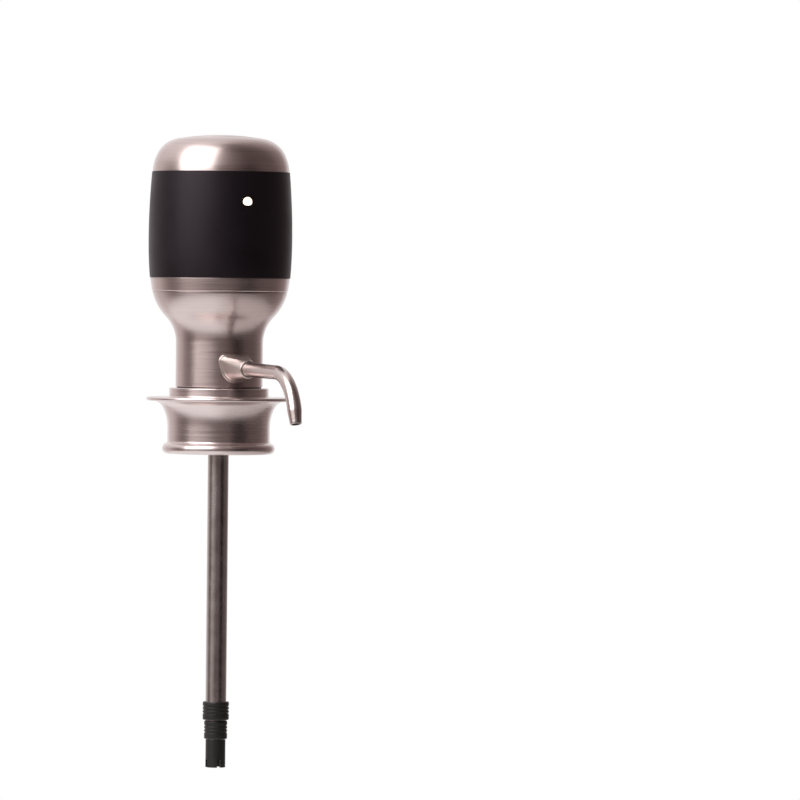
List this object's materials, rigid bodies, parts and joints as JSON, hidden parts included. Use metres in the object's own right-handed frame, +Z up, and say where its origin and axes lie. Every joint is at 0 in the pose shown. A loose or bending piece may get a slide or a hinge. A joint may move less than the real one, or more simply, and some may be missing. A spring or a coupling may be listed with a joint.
{
  "type": "electric wine aerator",
  "caption": "Push-button wine aerator and dispenser: a steel and black battery head on a pump housing that plugs a bottle, with a bent pouring spout and a telescopic dip tube.",
  "frame": {"origin": "centre of the bottle's mouth, level with the lip that the seal's flange rests on", "axes": "+Z up along the body's axis, -Y along the spout and through the lens"},
  "size_m": [0.0554, 0.1061, 0.2413],
  "materials": {
    "steel": "stainless steel, brushed round its axis",
    "spout_steel": "satin polish",
    "boss_steel": "fine satin",
    "tube_steel": "drawn tube",
    "plain_steel": "plain",
    "soft_black": "soft-touch",
    "black_plastic": "fine matte",
    "grey_plastic": "fine matte",
    "white_plastic": "moulded",
    "silicone": "soft silicone",
    "clear_silicone": "soft hose",
    "brass": "plain",
    "board": "circuit board",
    "cell_can": "plain can",
    "lens": "clear, lit from behind"
  },
  "bodies": {
    "base": {"base_collar": "steel", "bottle_seal": "silicone", "base_gasket": "silicone", "pump_housing": "steel", "inner_frame": "grey_plastic", "frame_screws": "plain_steel", "deck_screws": "plain_steel", "contact_deck": "grey_plastic", "contact_pins": "brass", "drive_motor": "plain_steel", "diaphragm": "silicone", "pump_block": "grey_plastic", "valve_head": "white_plastic", "air_hose": "clear_silicone", "wine_elbow": "white_plastic", "spout_seal": "silicone", "spout_boss": "boss_steel", "spout_tube": "spout_steel", "tube_outer": "tube_steel", "gland_outer": "black_plastic"},
    "head": {"head_ring": "steel", "grip_sleeve": "soft_black", "dome_cap": "steel", "button_guide": "grey_plastic", "switch_board": "board", "tact_switch": "black_plastic", "led_strip": "board", "led_lens": "lens", "return_spring": "plain_steel", "battery_carrier": "black_plastic", "battery_cells": "cell_can", "upper_contacts": "brass", "lower_contacts": "brass", "contact_rings": "brass"},
    "button": {"push_button": "steel"},
    "rotor": {"motor_shaft": "plain_steel", "eccentric": "brass"},
    "tube_mid": {"tube_middle": "tube_steel", "gland_middle": "black_plastic"},
    "tube_low": {"tube_lower": "tube_steel", "tube_foot": "black_plastic"}
  },
  "joints": [
    {"name": "head_twist", "type": "hinge", "parent": "base", "child": "head", "pos_m": [0, 0, 0.0439], "axis": [0, 0, 1], "range_deg": [0, 25]},
    {"name": "button_press", "type": "slide", "parent": "head", "child": "button", "axis": [0, 0, -1], "range_m": [0, 0.0015], "stiffness_N_per_m": 800, "springref_m": -0.001, "deforming": ["return_spring"]},
    {"name": "motor_spin", "type": "hinge", "parent": "base", "child": "rotor", "pos_m": [0, 0, 0.0192], "axis": [0, 0, 1], "continuous": true, "deforming": ["diaphragm"]},
    {"name": "tube_middle_slide", "type": "slide", "parent": "base", "child": "tube_mid", "axis": [0, 0, -1], "range_m": [0, 0.1]},
    {"name": "tube_lower_slide", "type": "slide", "parent": "tube_mid", "child": "tube_low", "axis": [0, 0, -1], "range_m": [0, 0.1]}
  ]
}
